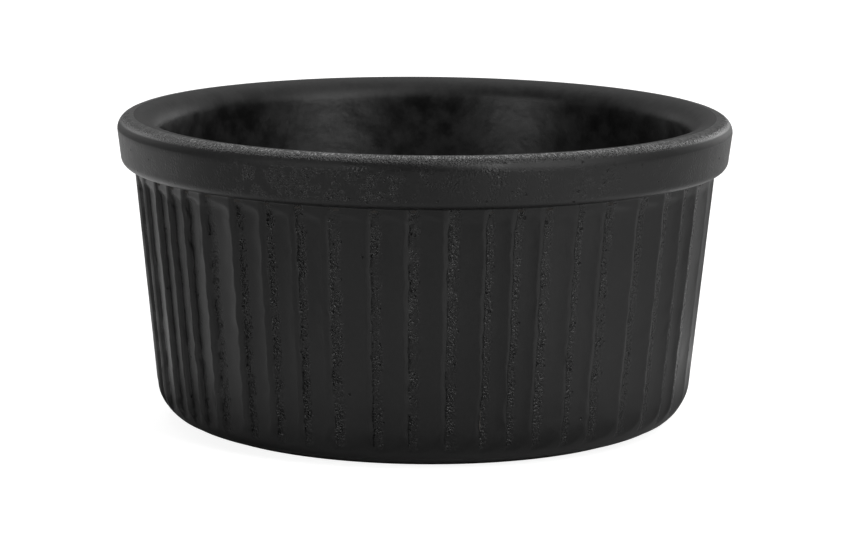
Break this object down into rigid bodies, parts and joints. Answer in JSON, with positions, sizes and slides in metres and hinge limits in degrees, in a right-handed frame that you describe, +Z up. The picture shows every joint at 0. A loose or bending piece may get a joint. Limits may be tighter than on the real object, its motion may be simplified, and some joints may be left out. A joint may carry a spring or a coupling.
{
  "type": "ramekin",
  "caption": "Round straight-sided ramekin with a smooth collar round the rim, irregular hand-carved flutes down the wall, a bare foot ring and a matte black glaze.",
  "frame": {"origin": "centre of the bare foot ring's lower plane, which is also the middle of the lowest plane of the part", "axes": "+Z up along the axis of the bowl, out of its mouth; -Y towards the pictured side; +X to the right in the picture"},
  "size_m": [0.09, 0.09, 0.045],
  "materials": {
    "bare_clay": "unglazed dark stoneware, dry and slightly gritty",
    "outer_glaze": "matte to satin black glaze with fine pinholes and glints, rough in the flutes",
    "bowl_glaze": "satin black glaze, softly mottled",
    "base_glaze": "matte black glaze"
  },
  "bodies": {
    "root": {"stoneware_body": "bare_clay", "outer_glaze": "outer_glaze", "bowl_glaze": "bowl_glaze", "base_glaze": "base_glaze"}
  },
  "joints": []
}
